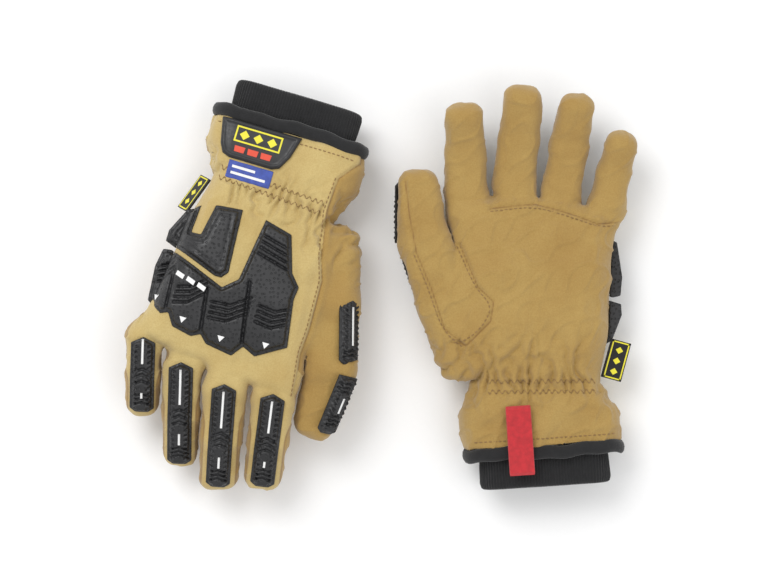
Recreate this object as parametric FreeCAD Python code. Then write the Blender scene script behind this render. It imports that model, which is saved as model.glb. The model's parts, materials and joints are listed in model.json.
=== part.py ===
"""A pair of insulated leather work gloves with moulded rubber impact guards.

The left glove lies on its back with the palm up, and the right glove lies palm down with its
knuckles raised. Both gloves are the same parts, mirrored and posed differently. Each glove is a
hollow sewn shell: a hand of two leather panels over a lining, four fingers and a thumb that bend,
rubber guards on its back, and a gathered cuff with a knit cuff inside it.

Hand frame, in millimetres: u across the hand towards the thumb, v from the cuff's edge towards
the fingertips, w out of the back of the hand. Row frame: +Z up, origin at the middle of the base.
"""

import FreeCAD
import Part

import math
import os

from FreeCAD import Placement, Rotation, Vector

# Fabric and rubber thicknesses
LEATHER = 2.0
LINING = 3.0
FINGER_WALL = 3.2
GUARD = 5.0
BADGE = 2.4
FIT_GAP = 0.1
JOINT_GAP = 0.35
REACH = 60.0

# The hand's cross-sections: v, middle in u, width, thickness, slant in degrees
HAND_SECTIONS = [
    (0, 0, 106, 38, 0),
    (24, 1, 110, 40, 2),
    (42, 2, 84, 31, 4),
    (76, 3, 105, 42, 3),
    (112, 0, 106, 42, 2),
    (145, -1, 110, 31, 6),
    (164, -1, 114, 20.6, 7.4),
]
REST_FACE_W = 25.6

# Fingers: thickness, and for each the knuckle hinge in u and v, widths at base and tip,
# and the lengths from knuckle hinge to middle hinge and from there to the tip
FINGER_THICKNESS = 21.0
FINGERS = {
    "index": (41, 175, 29, 25, 28, 34.5),
    "middle": (8, 178, 29, 25, 31, 38.5),
    "ring": (-24, 172, 27, 24, 30, 38.5),
    "little": (-54, 160, 24, 21.5, 23, 29),
}
FINGER_GUARD_WIDTH = 17.0
FINGER_GUARD_START = -9.0
FINGER_GUARD_END_GAP = 5.0
KNUCKLE_FLEX = 70.0
MIDDLE_FLEX = 80.0

# Thumb: sections of its fixed root, then the bending tip
THUMB_ROOT = [((48, 66, -3), 38, 27), ((59, 103, -4), 40, 28), ((72, 142, -6), 35, 23)]
THUMB_HINGE = (72, 142, -6)
THUMB_THICKNESS = 23.0
THUMB_TIP = (35, 25, 50)
THUMB_FLEX = 45.0
THUMB_GUARD_WIDTH = 15.0
THUMB_GUARD_FROM, THUMB_GUARD_TO = -48.0, 43.0
THUMB_GUARD_TILT = 42.0
THUMB_GUARD_TIP_RISE, THUMB_GUARD_TIP_FALL = 16.4, 3.9
THUMB_GUARD_ROOT_RISE, THUMB_GUARD_ROOT_FALL = 14.8, 3.2

# Cuff
BINDING_WIDTH, BINDING_THICKNESS, BINDING_LENGTH = 112, 44, 9.0
KNIT_WIDTH, KNIT_THICKNESS, KNIT_LENGTH, KNIT_WALL = 88, 31, 36.0, 3.0
KNIT_START = 8.0
LOOP_U, LOOP_WIDTH, LOOP_LENGTH, LOOP_THICKNESS, LOOP_TAPE = 16.5, 17.0, 48.0, 4.4, 1.4
LOOP_TOP_V = 29.0
TAG_WIDTH, TAG_LENGTH, TAG_THICKNESS = 13.5, 27.0, 1.4
TAG_FROM = (-40.5, 44.0)
TAG_TO = (-49.5, 70.0)
TAG_FALL, TAG_RISE = 50.0, 15.0

# Outlines of the rubber mouldings on the back of the hand, in u and v
HAND_GUARD_OUTLINE = [
    (-52, 67), (-42, 62), (-43, 82), (-37, 82), (-33, 60), (-14, 58),
    (-11, 102), (-15, 107), (-20, 107), (-60, 92), (-60, 84),
]
KNUCKLE_GUARD_OUTLINE = [
    (2, 60), (22, 65), (30, 90), (37, 98), (36, 107), (41, 139), (21, 151), (12, 147),
    (6, 155), (-13, 152), (-18, 147), (-24, 150), (-38, 147), (-43, 139), (-48, 141),
    (-60, 134), (-62, 110), (-60, 97), (-54, 96), (-13, 112), (-4, 104),
]
BADGE_OUTLINE = [(-46, 1), (10, 1), (6, 16), (1, 25), (-4, 27), (-34, 27), (-39, 25), (-42, 19)]
LABEL_OUTLINE = [(-33, 28), (-2, 28), (-2, 40), (-33, 40)]

# How each glove lies: turn about Z, pitch about u, how far the side tag droops, and for each
# finger its yaw towards the thumb, its offset in w, its knuckle curl and its middle curl
POSES = {
    "left": {
        "turn": 3.8,
        "pitch": 0.0,
        "centre": (106.0, -110.0),
        "thumb_yaw": 1.0,
        "thumb_curl": 6.0,
        "tag_droop": 0.0,
        "fingers": {
            "index": (-2.0, 0.0, 8, 20),
            "middle": (-9.5, 0.0, 8, 20),
            "ring": (-12.7, 0.0, 8, 20),
            "little": (-17.2, 0.0, 8, 20),
        },
    },
    "right": {
        "turn": -16.5,
        "pitch": 5.0,
        "centre": (-67.0, 99.0),
        "thumb_yaw": -1.0,
        "thumb_curl": 10.0,
        "tag_droop": 55.0,
        "fingers": {
            "index": (9.0, 0.0, 10, 16),
            "middle": (12.0, 0.5, 10, 18),
            "ring": (14.5, -2.0, 10, 18),
            "little": (14.0, -4.0, 8, 16),
        },
    },
}
LIFT = 150.0


def stadium(width, thickness, place):
    """A closed wire of two straight sides and two half circles, in the XZ plane of a placement."""
    r = thickness / 2
    a = width / 2 - r
    right, left = Vector(a, 0, 0), Vector(-a, 0, 0)
    up = Vector(0, 0, r)
    edges = [
        Part.LineSegment(left + up, right + up).toShape(),
        Part.Arc(right + up, right + Vector(r, 0, 0), right - up).toShape(),
        Part.LineSegment(right - up, left - up).toShape(),
        Part.Arc(left - up, left - Vector(r, 0, 0), left + up).toShape(),
    ]
    wire = Part.Wire(edges)
    wire.Placement = place
    return wire


def hand_loft(offset, side, ends=0.0):
    """The hand's body with every section grown by offset, and its two ends moved out by ends."""
    wires = []
    last = len(HAND_SECTIONS) - 1
    for i, (v, u, width, thickness, slant) in enumerate(HAND_SECTIONS):
        along = -ends if i == 0 else ends if i == last else 0.0
        place = Placement(Vector(side * u, v + along, 0), Rotation(Vector(0, 0, 1), side * slant))
        wires.append(stadium(width + 2 * offset, thickness + 2 * offset, place))
    return Part.makeLoft(wires, True, True)


def prism(outline, side, low, high):
    """An outline in u and v, raised from w = low to w = high."""
    points = [Vector(side * u, v, low) for u, v in outline]
    face = Part.Face(Part.makePolygon(points + points[:1]))
    return face.extrude(Vector(0, 0, high - low))


def tube_body(width0, width1, start, end, thickness, rounding, round_end=True):
    """A tapered bar from y = start to end, with its long edges and its far end rounded."""
    h = thickness / 2
    r = width1 / 2 - 0.5
    slope = (width0 - width1) / 2 / (end - start)
    at = end - r if round_end else end
    x0, x1 = width0 / 2, width0 / 2 - slope * (at - start)
    a, b = Vector(-x0, start, -h), Vector(x0, start, -h)
    c, d = Vector(x1, at, -h), Vector(-x1, at, -h)
    if round_end:
        far = Part.Arc(c, Vector(0, end, -h), d).toShape()
    else:
        far = Part.LineSegment(c, d).toShape()
    wire = Part.Wire([
        Part.LineSegment(a, b).toShape(),
        Part.LineSegment(b, c).toShape(),
        far,
        Part.LineSegment(d, a).toShape(),
    ])
    body = Part.Face(wire).extrude(Vector(0, 0, thickness))
    edges = [
        e for e in body.Edges
        if abs(abs(e.BoundBox.ZMin) - h) < 1e-3
        and e.BoundBox.ZLength < 1e-3
        and e.BoundBox.YMax > start + 1
    ]
    return body.makeFillet(rounding, edges)


def finger_shell(width0, width1, start, end, thickness):
    outer = tube_body(width0, width1, start, end, thickness, 6.0)
    w = FINGER_WALL
    inner = tube_body(
        width0 - 2 * w, width1 - 2 * w, start - 1, end - w, thickness - 2 * w, 3.5
    )
    return outer.cut(inner)


def disc(radius, y, half_width):
    return Part.makeCylinder(radius, 2 * half_width, Vector(-half_width, y, 0), Vector(1, 0, 0))


def slab(points, half_width):
    """A profile of (y, z) points, extruded across the finger."""
    wire = [Vector(-half_width, y, z) for y, z in points]
    return Part.Face(Part.makePolygon(wire + wire[:1])).extrude(Vector(2 * half_width, 0, 0))


def before_hinge(y, radius, flex, half_width):
    """What the part behind a hinge at y must leave free, over the whole flex."""
    r = radius + JOINT_GAP
    t = math.radians(flex)
    touch = (y - r * math.sin(t), -r * math.cos(t))
    away = (touch[0] + 2 * REACH * math.cos(t), touch[1] - 2 * REACH * math.sin(t))
    wedge = slab(
        [(y, 0), touch, away, (y + 3 * REACH, -2 * REACH), (y + 3 * REACH, REACH), (y, REACH)],
        half_width,
    )
    return wedge.fuse(disc(r, y, half_width))


def after_hinge(y, radius, half_width):
    """The room of the part beyond a hinge at y: all in front of it, and a round heel."""
    front = slab([(y, -REACH), (y + 3 * REACH, -REACH), (y + 3 * REACH, REACH), (y, REACH)], half_width)
    return front.fuse(disc(radius, y, half_width))


def guard_bar(width, start, end, low, point=0.0):
    """A rubber bar with bevelled upper edges; its start may come to a point."""
    h = width / 2
    outline = [(-h, start + point), (0, start), (h, start + point), (h, end - 3), (h - 4, end),
               (4 - h, end), (-h, end - 3)]
    points = [Vector(x, y, low) for x, y in outline]
    bar = Part.Face(Part.makePolygon(points + points[:1])).extrude(Vector(0, 0, GUARD))
    top = [e for e in bar.Edges if e.BoundBox.ZMin > low + GUARD - 1e-3]
    return bar.makeChamfer(1.2, top)


def finger_parts(name):
    """One straight finger in its own frame: x across, y along from the knuckle hinge, z out of the back."""
    _, _, width0, width1, base, tip = FINGERS[name]
    r = FINGER_THICKNESS / 2
    end = base + tip
    wide = REACH / 2
    shell = finger_shell(width0, width1, -r - 1, end, FINGER_THICKNESS)
    middle_room = before_hinge(base, r, MIDDLE_FLEX, wide)
    guard_end = end - FINGER_GUARD_END_GAP
    low = r + 0.05
    bars = {
        "guard_base": guard_bar(FINGER_GUARD_WIDTH, FINGER_GUARD_START, base - 0.3, low, 4.0),
        "guard_tip": guard_bar(FINGER_GUARD_WIDTH, base + 0.3, guard_end, low),
    }
    return {
        "base": shell.common(after_hinge(0, r, wide)).cut(middle_room),
        "tip": shell.common(after_hinge(base, r, wide)),
        **bars,
    }


class Glove:
    """Builds one glove. side is 1 for the left and -1 for the right, which mirrors u."""

    def __init__(self, name):
        self.name = name
        self.side = 1 if name == "left" else -1
        self.pose = POSES[name]
        self.nodes, self.joints, self.points = {}, [], {}

    def hand_place(self):
        p = self.pose
        lie = Rotation(Vector(0, 1, 0), 180) if self.side == 1 else Rotation(Vector(0, 0, 1), 180)
        pitch = Rotation(Vector(1, 0, 0), p["pitch"])
        turn = Rotation(Vector(0, 0, 1), p["turn"])
        x, y = p["centre"]
        return Placement(Vector(x, y, 0), turn * lie * pitch)

    def finger_frame(self, name):
        """(knuckle frame, its curled frame, the middle hinge's curled frame) in the hand frame."""
        u, v, _, _, base, _ = FINGERS[name]
        yaw, drop, curl, middle = self.pose["fingers"][name]
        at = Vector(self.side * u, v, drop)
        straight = Placement(at, Rotation(Vector(0, 0, 1), -self.side * yaw))
        curled = straight.multiply(Placement(Vector(), Rotation(Vector(1, 0, 0), -curl)))
        bend = Placement(Vector(0, base, 0), Rotation(Vector(1, 0, 0), -middle))
        back = Placement(Vector(0, -base, 0), Rotation())
        tip = curled.multiply(bend).multiply(back)
        return straight, curled, tip

    def thumb_frame(self):
        u, v, w = THUMB_HINGE
        at = Vector(self.side * u, v, w)
        straight = Placement(at, Rotation(Vector(0, 0, 1), -self.side * self.pose["thumb_yaw"]))
        curl = self.pose["thumb_curl"]
        return straight, straight.multiply(Placement(Vector(), Rotation(Vector(1, 0, 0), -curl)))

    def keep(self, node, shape):
        self.nodes[f"{self.name}_{node}"] = shape

    def hinge(self, name, parent, child, frame, y, low, high):
        """A hinge across a finger frame, at y along it; positive flexes towards the palm."""
        self.joints.append({
            "name": f"{self.name}_{name}",
            "parent": f"{self.name}_{parent}",
            "child": f"{self.name}_{child}",
            "at": frame.multVec(Vector(0, y, 0)),
            "axis": frame.Rotation.multVec(Vector(-1, 0, 0)),
            "range": (low, high),
        })

    def fingers(self):
        rooms = []
        r = FINGER_THICKNESS / 2
        for name, (_, _, width0, _, base, _) in FINGERS.items():
            straight, curled, tip = self.finger_frame(name)
            _, _, curl, middle = self.pose["fingers"][name]
            parts = finger_parts(name)
            for piece, shape in parts.items():
                shape.Placement = tip if piece.endswith("tip") else curled
                self.keep(f"{name}_{piece}", shape)
            room = before_hinge(0, r, KNUCKLE_FLEX, width0 / 2 + 0.8)
            guard_room = slab(
                [(FINGER_GUARD_START - 0.6, r - 0.4), (REACH, r - 0.4), (REACH, REACH),
                 (FINGER_GUARD_START - 0.6, REACH)],
                FINGER_GUARD_WIDTH / 2 + 0.5,
            )
            room = room.fuse(guard_room)
            room.Placement = straight
            rooms.append(room)
            self.hinge(f"{name}_knuckle", "hand", f"{name}_base", curled, 0, -curl, KNUCKLE_FLEX - curl)
            self.hinge(f"{name}_middle", f"{name}_base", f"{name}_tip", tip, base, -middle,
                       MIDDLE_FLEX - middle)
        return rooms

    def thumb_root(self, grow, ends):
        """The thumb's fixed root as a loft, with its sections grown and its two ends moved out."""
        wires = []
        last = len(THUMB_ROOT) - 1
        for i, ((u, v, w), width, thickness) in enumerate(THUMB_ROOT):
            before = THUMB_ROOT[max(i - 1, 0)][0]
            after = THUMB_ROOT[min(i + 1, last)][0]
            along = Vector(self.side * (after[0] - before[0]), after[1] - before[1], after[2] - before[2])
            along.normalize()
            yaw = math.degrees(math.atan2(-along.x, along.y))
            reach = ends if i == last else 0.0
            place = Placement(Vector(self.side * u, v, w) + along * reach, Rotation(Vector(0, 0, 1), yaw))
            wires.append(stadium(width + 2 * grow, thickness + 2 * grow, place))
        return Part.makeLoft(wires, True, False)

    def thumb_guard_place(self, rise, fall):
        """Where a thumb guard lies on the thumb's outer shoulder, falling towards the tip."""
        tilt = Rotation(Vector(0, 1, 0), self.side * THUMB_GUARD_TILT)
        return Placement(tilt.multVec(Vector(0, 0, rise)), tilt * Rotation(Vector(1, 0, 0), -fall))

    def thumb(self, hand_outer):
        """The thumb's root on the hand, its bending tip, and the two halves of its guard."""
        straight, curled = self.thumb_frame()
        r = THUMB_THICKNESS / 2
        width0, width1, length = THUMB_TIP
        room = before_hinge(0, r, THUMB_FLEX, REACH / 2)
        room.Placement = straight
        outer, inner = self.thumb_root(0.0, 0.0), self.thumb_root(-FINGER_WALL, 1.0)
        self.keep("thumb_base", outer.cut(inner).cut(hand_outer).cut(room))
        shell = finger_shell(width0, width1, -r - 1, length, THUMB_THICKNESS)
        tip = shell.common(after_hinge(0, r, REACH / 2))
        tip.Placement = curled
        self.keep("thumb_tip", tip)

        bar = guard_bar(THUMB_GUARD_WIDTH, 0.5, THUMB_GUARD_TO, 0.0)
        bar.Placement = self.thumb_guard_place(THUMB_GUARD_TIP_RISE, THUMB_GUARD_TIP_FALL)
        solid = tube_body(width0, width1, -r - 1, length, THUMB_THICKNESS, 6.0)
        bar = bar.cut(solid).common(after_hinge(0, r + 3, REACH))
        bar.Placement = curled
        self.keep("thumb_guard_tip", bar)

        first, _, last = (Vector(self.side * p[0][0], p[0][1], p[0][2]) for p in THUMB_ROOT)
        lean = math.degrees(math.atan2(last.x - first.x, last.y - first.y))
        bar = guard_bar(THUMB_GUARD_WIDTH, THUMB_GUARD_FROM, -1.0, 0.0, 4.0)
        root = Placement(straight.Base, Rotation(Vector(0, 0, 1), -lean))
        bar.Placement = root.multiply(self.thumb_guard_place(THUMB_GUARD_ROOT_RISE, THUMB_GUARD_ROOT_FALL))
        room_wide = before_hinge(0, r + 3, THUMB_FLEX, REACH)
        room_wide.Placement = straight
        self.keep("thumb_guard_base", bar.cut(outer).cut(hand_outer).cut(room_wide))
        curl = self.pose["thumb_curl"]
        self.hinge("thumb_bend", "hand", "thumb_tip", curled, 0, -curl, THUMB_FLEX - curl)
        return room, inner

    def hand(self):
        s = self.side
        outer = hand_loft(0, s)
        rooms = self.fingers()
        thumb_room, thumb_inner = self.thumb(outer)
        under_leather = hand_loft(-LEATHER, s, 1.0)
        over_lining = hand_loft(-LEATHER - FIT_GAP, s)
        cavity = hand_loft(-LEATHER - LINING, s, 1.0)
        leather = outer.cut(under_leather)
        lining = over_lining.cut(cavity)
        for room in rooms + [thumb_room, thumb_inner]:
            leather = leather.cut(room)
            lining = lining.cut(room)
        back = Part.makeBox(400, 400, 100, Vector(-200, -100, 0.02))
        palm = Part.makeBox(400, 400, 100, Vector(-200, -100, -100.02))
        self.keep("back_panel", leather.common(back))
        self.keep("palm_panel", leather.common(palm))
        self.keep("lining", lining)
        return outer, rooms

    def layer(self, outer, thickness, outline, low, high):
        """A piece of an outline that lies on the hand's surface and follows it."""
        grown = hand_loft(thickness, self.side, 0.0)
        return grown.cut(outer).common(prism(outline, self.side, low, high))

    def trim(self, outer, rooms):
        s = self.side
        flat = Part.makeBox(400, 400, 100, Vector(-200, -100, REST_FACE_W))
        for node, outline in (("hand_guard", HAND_GUARD_OUTLINE), ("knuckle_guard", KNUCKLE_GUARD_OUTLINE)):
            shape = self.layer(outer, GUARD, outline, 1.0, REACH).cut(flat)
            for room in rooms:
                shape = shape.cut(room)
            self.keep(node, shape)
        badge = self.layer(outer, BADGE, BADGE_OUTLINE, 1.0, REACH)
        label = self.layer(outer, BADGE / 2, LABEL_OUTLINE, 1.0, REACH)
        self.keep("cuff_badge", Part.makeCompound([badge, label]))

        def ring(width, thickness, wall, low, high):
            place = Placement(Vector(0, low, 0), Rotation())
            rim = Part.Face(stadium(width, thickness, place))
            hole = Part.Face(stadium(width - 2 * wall, thickness - 2 * wall, place))
            return rim.cut(hole).extrude(Vector(0, high - low, 0))

        wall = (BINDING_WIDTH - KNIT_WIDTH) / 2 - 0.4
        binding = ring(BINDING_WIDTH, BINDING_THICKNESS, min(wall, 6.0), -BINDING_LENGTH, -0.05)
        self.keep("cuff_binding", binding)
        cavity = 2 * (LEATHER + LINING + FIT_GAP)
        knit_thickness = min(KNIT_THICKNESS, HAND_SECTIONS[0][3] - cavity)
        self.keep("knit_cuff", ring(KNIT_WIDTH, knit_thickness, KNIT_WALL, KNIT_START - KNIT_LENGTH, KNIT_START))

    def loop(self):
        """The webbing pull loop: a flattened ring of tape, sewn to the palm side at its top."""
        palm = -HAND_SECTIONS[1][3] / 2
        low = min(palm, -BINDING_THICKNESS / 2) - 0.4 - LOOP_THICKNESS
        place = Placement(Vector(self.side * LOOP_U, LOOP_TOP_V - LOOP_LENGTH / 2, low + LOOP_THICKNESS / 2),
                          Rotation(Vector(0, 0, 1), 90))
        outer = Part.Face(stadium(LOOP_LENGTH, LOOP_THICKNESS, Placement()))
        inner = Part.Face(stadium(LOOP_LENGTH - 2 * LOOP_TAPE, LOOP_THICKNESS - 2 * LOOP_TAPE, Placement()))
        tape = outer.cut(inner).extrude(Vector(0, LOOP_WIDTH, 0))
        tape.translate(Vector(0, -LOOP_WIDTH / 2, 0))
        tape.Placement = place.multiply(tape.Placement)
        self.keep("pull_loop", tape)
        end = LOOP_TOP_V - LOOP_THICKNESS / 2
        frame = Placement(Vector(self.side * LOOP_U, end, low + LOOP_THICKNESS / 2), Rotation())
        self.hinge("pull_loop_swing", "hand", "pull_loop", frame, 0, -100.0, 0.0)

    def tag(self):
        """The woven tag in the side seam, which flips about the seam."""
        s = self.side
        a, b = Vector(s * TAG_FROM[0], TAG_FROM[1], 0), Vector(s * TAG_TO[0], TAG_TO[1], 0)
        along = b - a
        yaw = math.degrees(math.atan2(-along.x, along.y))
        out = 2.6
        box = Part.makeBox(TAG_WIDTH, TAG_LENGTH, TAG_THICKNESS,
                           Vector(-s * out - (TAG_WIDTH if s == 1 else 0), 0, -TAG_THICKNESS / 2))
        box = box.fuse(Part.makeCylinder(TAG_THICKNESS / 2, TAG_LENGTH, Vector(-s * out, 0, 0), Vector(0, 1, 0)))
        frame = Placement(a, Rotation(Vector(0, 0, 1), yaw))
        edge = Vector(-s * out, 0, 0)
        droop = self.pose["tag_droop"]
        hang = Placement(Vector(), Rotation(Vector(0, 1, 0), -s * droop), edge)
        box.Placement = frame.multiply(hang)
        self.keep("side_tag", box)
        seam = frame.multVec(edge)
        axis = frame.Rotation.multVec(Vector(0, 1, 0))
        self.joints.append({
            "name": f"{self.name}_side_tag_flip", "parent": f"{self.name}_hand",
            "child": f"{self.name}_side_tag", "at": seam, "axis": axis * s,
            "range": (min(0.0, droop - TAG_FALL), droop + TAG_RISE),
        })

    def build(self):
        outer, rooms = self.hand()
        self.trim(outer, rooms)
        self.loop()
        self.tag()
        place = self.hand_place()
        for shape in self.nodes.values():
            shape.Placement = place.multiply(shape.Placement)
        for joint in self.joints:
            joint["at"] = place.multVec(joint["at"])
            joint["axis"] = place.Rotation.multVec(joint["axis"])
        self.place = place


def surface_box(shapes):
    """Lowest and highest corner of the shapes' meshes."""
    points = [p for shape in shapes for p in shape.tessellate(0.1)[0]]
    low = Vector(*(min(p[k] for p in points) for k in range(3)))
    high = Vector(*(max(p[k] for p in points) for k in range(3)))
    return low, high


def move(glove, by):
    for shape in glove.nodes.values():
        shape.Placement = Placement(by, Rotation()).multiply(shape.Placement)
    for joint in glove.joints:
        joint["at"] = joint["at"] + by
    glove.place = Placement(by, Rotation()).multiply(glove.place)


def build():
    """Both gloves, each set down on z = 0, with the pair's middle at the origin."""
    gloves = [Glove("left"), Glove("right")]
    for glove in gloves:
        glove.build()
        low, _ = surface_box(glove.nodes.values())
        move(glove, Vector(0, 0, -low.z))
    low, high = surface_box([s for g in gloves for s in g.nodes.values()])
    for glove in gloves:
        move(glove, Vector(-(low.x + high.x) / 2, -(low.y + high.y) / 2, 0))
    return gloves


GLOVES = build()
os.makedirs("parts", exist_ok=True)
for glove in GLOVES:
    for node, shape in glove.nodes.items():
        shape.exportStep(f"parts/{node}.step")
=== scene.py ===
"""Looks of a pair of insulated leather work gloves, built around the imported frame.

The leather and its lining are grown from distance fields in glove space: millimetres, with u
across the hand towards the thumb, v from the cuff's edge to the fingertips and w out of the back
of the hand. The joints place that space in the row frame, and the right glove mirrors it.
"""

import json
import math

import bpy
import numpy as np
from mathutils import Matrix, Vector
from mathutils.bvhtree import BVHTree


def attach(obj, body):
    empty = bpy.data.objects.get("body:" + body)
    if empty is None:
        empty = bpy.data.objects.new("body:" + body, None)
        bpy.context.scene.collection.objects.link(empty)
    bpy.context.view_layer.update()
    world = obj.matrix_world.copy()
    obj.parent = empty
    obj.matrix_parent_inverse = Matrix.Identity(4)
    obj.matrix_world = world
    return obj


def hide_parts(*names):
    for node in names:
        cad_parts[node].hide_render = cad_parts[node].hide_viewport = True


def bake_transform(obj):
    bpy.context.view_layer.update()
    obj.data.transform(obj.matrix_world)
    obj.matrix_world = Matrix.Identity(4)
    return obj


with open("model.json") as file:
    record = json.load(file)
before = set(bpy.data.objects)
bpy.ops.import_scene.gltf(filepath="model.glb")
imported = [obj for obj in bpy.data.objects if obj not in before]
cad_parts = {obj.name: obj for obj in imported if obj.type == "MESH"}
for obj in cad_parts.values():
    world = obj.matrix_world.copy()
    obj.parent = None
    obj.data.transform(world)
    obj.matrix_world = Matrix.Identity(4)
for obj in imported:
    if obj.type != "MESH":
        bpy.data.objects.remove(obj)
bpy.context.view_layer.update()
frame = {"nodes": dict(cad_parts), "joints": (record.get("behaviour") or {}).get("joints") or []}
MM = 0.001

# Sizes of the sewn shell, in millimetres
HAND_SECTIONS = np.array([
    (-2, 0, 104, 37, 0), (6, 0, 108, 39, 0), (24, 1, 110, 40, 2), (42, 2, 84, 31, 4),
    (76, 3, 105, 42, 3), (112, 0, 106, 42, 2), (145, -1, 110, 31, 6), (166, -1, 114, 20.6, 7.4),
], float)
HAND_END = 165.0
HAND_SHELL = 2.2
POCKET = 62.0
THUMB_ROOT = [((48, 62, -3), 18, 13.0), ((59, 103, -4), 20, 14.0), ((72, 142, -6), 17.5, 11.5)]
THUMB_GUARD_TILT = 42.0
RIB_PITCH, SPINE_HALF, KNUCKLE_LIFT, HEEL = 3.6, 3.0, 2.6, 2.5
GUARD_HALF, GUARD_RISE, GUARD_START, GUARD_SHORT = 8.6, 4.7, -7.0, 5.0
FINGER_DEPTH, THUMB_DEPTH, THUMB_HALF = 10.5, 11.5, 17.5
ROOT_V = 112.0
STRIP_SHARE, FORK_TAPER = 0.8, 8.0
BEND = 16.0
BEND_FROM = {"index": -6.0, "middle": -8.0, "ring": -6.0, "little": -1.0}
FINGERS = list(BEND_FROM)
REST_FACE = 25.6
MARK_RISE = 5.4
BAR_PLACES = (-41.5, -33.5, -25.5)
CELL = 1.1

# Points that place glove space on the frame's joints: the index knuckle, thumb and pull loop
MARKS = {"index_knuckle": (41, 175, 0), "thumb_bend": (72, 142, -6), "pull_loop_swing": (16.5, 26.8, -24.6)}

# Cuff: ovals as width and thickness, and the knit's depth and place along the hand
ROLL_OVAL, ROLL_V, ROLL_HALF = (105.5, 37.5), -3.9, (2.6, 4.5)
KNIT_OVAL, KNIT_RIB = (87.0, 27.0), 0.32
KNIT_PROFILE = [
    (0.0, 8.0), (0.2, -4.0), (0.3, -14.0), (0.3, -24.0), (-0.5, -27.0), (-1.8, -28.0),
    (-3.0, -26.8), (-3.4, -22.0), (-3.4, -8.0), (-3.2, 8.0),
]
LINING_CELL = 1.6

# Seams, as points in u and v
BACK_EDGE = np.array([
    (-12, 49), (5, 52), (20, 41), (43, 39.5), (74, 45), (89, 50), (122, 51), (140, 50), (170, 54),
])
THUMB_SEAM = [(82, 184), (80.5, 160), (77.5, 135), (69.5, 112), (62, 83), (49, 71)]
PATCH_SEAM = [(48, 139), (38, 110), (28, 99), (31, 86), (48, 71), (58, 74)]
FINGER_SEAM = [(26, 162), (10, 163), (-5, 163), (-20, 158), (-33, 153), (-46, 147), (-59, 147)]

TAG_SEAM = [(-40.5, 44), (-49.5, 70)]

# Outlines of the rubber on the back of the hand, and of the badge and label
HAND_GUARD = [
    (-52, 67), (-42, 62), (-43, 82), (-37, 82), (-33, 60), (-14, 58),
    (-11, 102), (-15, 107), (-20, 107), (-60, 92), (-60, 84),
]
KNUCKLE_GUARD = [
    (2, 60), (22, 65), (30, 90), (37, 98), (36, 107), (41, 139), (21, 151), (12, 147),
    (6, 155), (-13, 152), (-18, 147), (-24, 150), (-38, 147), (-43, 139), (-48, 141),
    (-60, 134), (-62, 110), (-60, 97), (-54, 96), (-13, 112), (-4, 104),
]
BADGE = [(-46, 1), (10, 1), (6, 16), (1, 25), (-4, 27), (-34, 27), (-39, 25), (-42, 19)]
LABEL = [(-33, 28), (-2, 28), (-2, 40), (-33, 40)]
LOBES = [(26, 139, 13, 2), (-4, 143, 14, 4), (-32, 138, 11, 6), (-54, 128, 7, 8)]
LOBE_GAPS = [((11, 148), (4, 104)), ((-18, 147), (-22, 116)), ((-45, 140), (-47, 108))]


# ---- distance fields and their surfaces ----

def unit(v):
    return np.asarray(v, float) / np.linalg.norm(v)


def smooth(x):
    """0 below 0, 1 above 1, with a smooth rise between."""
    x = np.clip(x, 0.0, 1.0)
    return x * x * (3 - 2 * x)


def soft_min(a, b, k):
    h = np.clip(0.5 + 0.5 * (b - a) / k, 0.0, 1.0)
    return b * (1 - h) + a * h - k * h * (1 - h)


def waves(points, length, seed, count=7):
    """Smooth noise of about -1 to 1 with waves near the given length, in mm."""
    rng = np.random.default_rng(seed)
    ways = rng.normal(size=(count, points.shape[1]))
    ways /= np.linalg.norm(ways, axis=1)[:, None]
    rates = 2 * math.pi / (length * rng.uniform(0.7, 1.5, count))
    turns = rng.uniform(0, 2 * math.pi, count)
    total = sum(np.sin(points @ (w * r) + t) for w, r, t in zip(ways, rates, turns))
    return total / math.sqrt(count / 2) / 1.6


def surface(field, low, step):
    """Quads on the zero level of a grid of distances: one point for each cell that it crosses."""
    n = np.array(field.shape)
    inside = field < 0
    count = np.zeros(n - 1, np.int8)
    place = np.zeros((*(n - 1), 3), np.float32)
    crossings = []
    for axis in range(3):
        a = [slice(None)] * 3
        b = [slice(None)] * 3
        a[axis], b[axis] = slice(0, -1), slice(1, None)
        a, b = tuple(a), tuple(b)
        crossed = inside[a] != inside[b]
        where = np.argwhere(crossed)
        fa, fb = field[a][crossed], field[b][crossed]
        at = where.astype(np.float32)
        at[:, axis] += fa / (fa - fb)
        crossings.append((axis, where, inside[a][crossed]))
        sides = [k for k in range(3) if k != axis]
        for i in (0, 1):
            for j in (0, 1):
                cell = where.copy()
                cell[:, sides[0]] -= i
                cell[:, sides[1]] -= j
                good = np.all((cell >= 0) & (cell < n - 1), axis=1)
                key = tuple(cell[good].T)
                count[key] += 1
                place[key] += at[good]
    active = count > 0
    number = np.full(n - 1, -1, np.int64)
    number[active] = np.arange(active.sum())
    verts = low + step * place[active] / count[active][:, None]
    quads = []
    for axis, where, starts_inside in crossings:
        p, q = [k for k in range(3) if k != axis]
        good = np.all(where[:, [p, q]] > 0, axis=1) & np.all(where[:, [p, q]] < n[[p, q]] - 1, axis=1)
        w, first = where[good], starts_inside[good]
        corners = []
        for i, j in ((1, 1), (0, 1), (0, 0), (1, 0)):
            cell = w.copy()
            cell[:, p] -= i
            cell[:, q] -= j
            corners.append(number[tuple(cell.T)])
        quad = np.stack(corners, axis=1)
        turned = first if axis != 1 else ~first
        quad[~turned] = quad[~turned][:, ::-1]
        quads.append(quad)
    return verts.astype(float), np.vstack(quads)


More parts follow.
